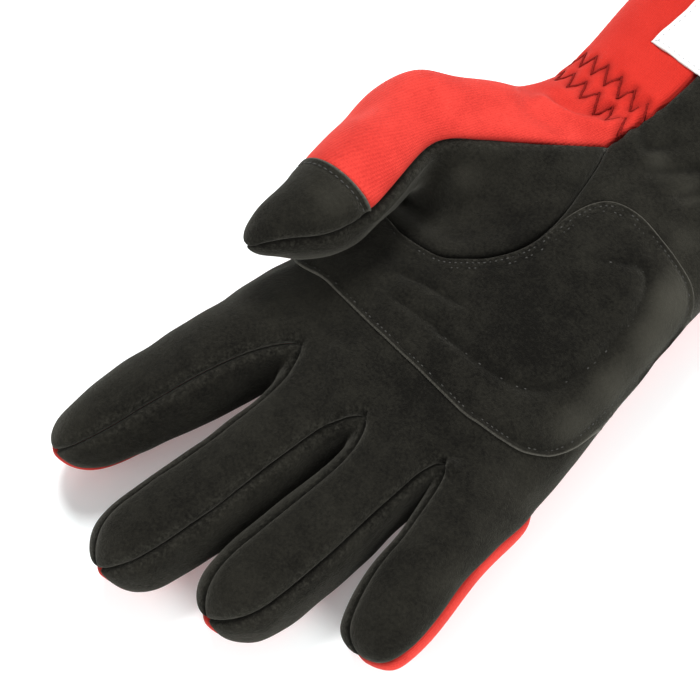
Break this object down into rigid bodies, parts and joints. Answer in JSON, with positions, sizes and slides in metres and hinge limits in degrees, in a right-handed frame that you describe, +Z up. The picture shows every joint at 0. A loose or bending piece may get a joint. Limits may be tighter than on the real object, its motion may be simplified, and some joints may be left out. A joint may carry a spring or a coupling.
{
  "type": "racing glove",
  "caption": "Right-hand racing glove lying palm up, filled as if worn, with a leather palm and finger fronts, a knitted back, a raised thumb with a leather cap and a long open cuff.",
  "frame": {"origin": "on the surface the glove lies on, at the flat underside of the back of the hand, below the palm's middle", "axes": "+Y along the hand towards the open end of the cuff, fingers towards -Y, +Z up out of the palm, thumb towards -X"},
  "size_m": [0.1281, 0.2551, 0.0529],
  "materials": {
    "black_suede": "napped suede, matt",
    "red_knit": "fine ribbed knit, matt",
    "white_cloth": "smooth woven tape, matt"
  },
  "bodies": {
    "root": {"palm_panel": "black_suede", "back_panel": "red_knit", "side_strip_index_middle": "black_suede", "side_strip_middle_ring": "black_suede", "side_strip_ring_little": "black_suede", "thumb_front": "black_suede", "thumb_cap": "black_suede", "palm_patch": "black_suede", "cuff_label": "white_cloth"}
  },
  "joints": []
}
